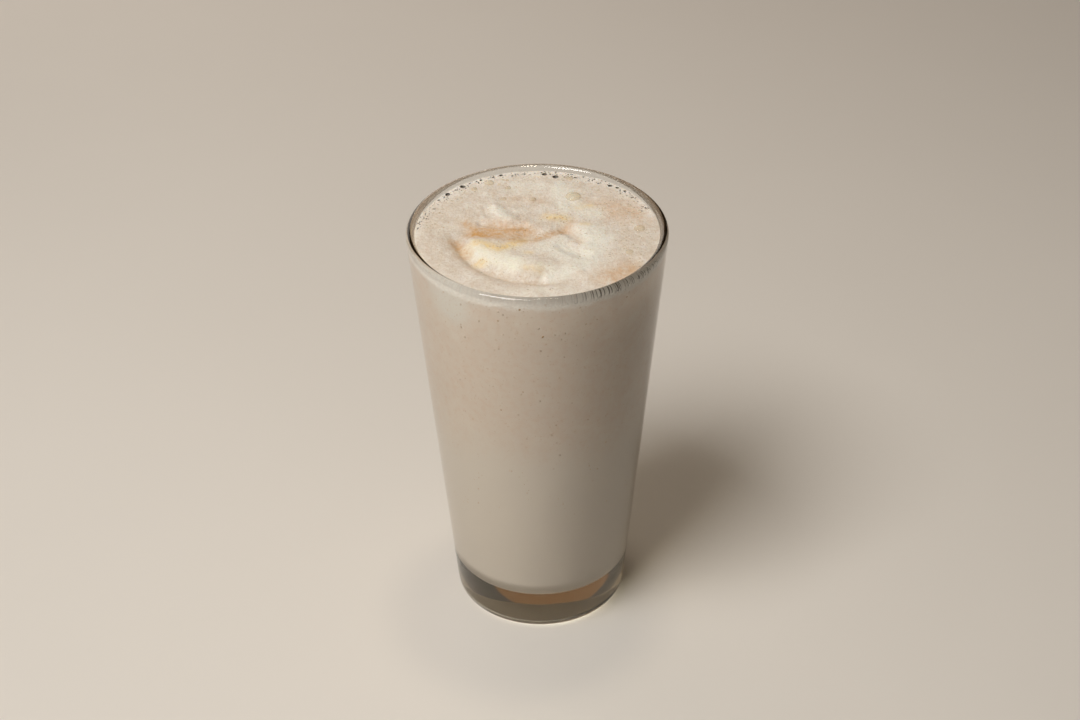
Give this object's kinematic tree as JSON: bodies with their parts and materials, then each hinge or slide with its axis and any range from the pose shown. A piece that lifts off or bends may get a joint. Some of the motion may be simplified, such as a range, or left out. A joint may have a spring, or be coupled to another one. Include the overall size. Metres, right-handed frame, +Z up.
{
  "type": "milkshake",
  "caption": "Milkshake in a plain conical pint glass with a thick clear foot and a rounded lip, filled almost to the rim and topped with soft, bubbly, cream-coloured froth.",
  "frame": {"origin": "middle of the foot, on the surface that the glass stands on", "axes": "+Z up the glass's axis to the rim; +X to the right and +Y away, seen from the front of the froth's pattern"},
  "size_m": [0.0886, 0.0886, 0.1515],
  "materials": {
    "clear_glass": "clear, smooth soda-lime glass with a faint green edge",
    "milk_shake": "opaque blended milk drink with fine brown specks",
    "milk_froth": "moist milk froth of fine bubbles with cream and caramel-coloured streaks"
  },
  "bodies": {
    "root": {"glass": "clear_glass", "shake": "milk_shake", "froth": "milk_froth"}
  },
  "joints": []
}
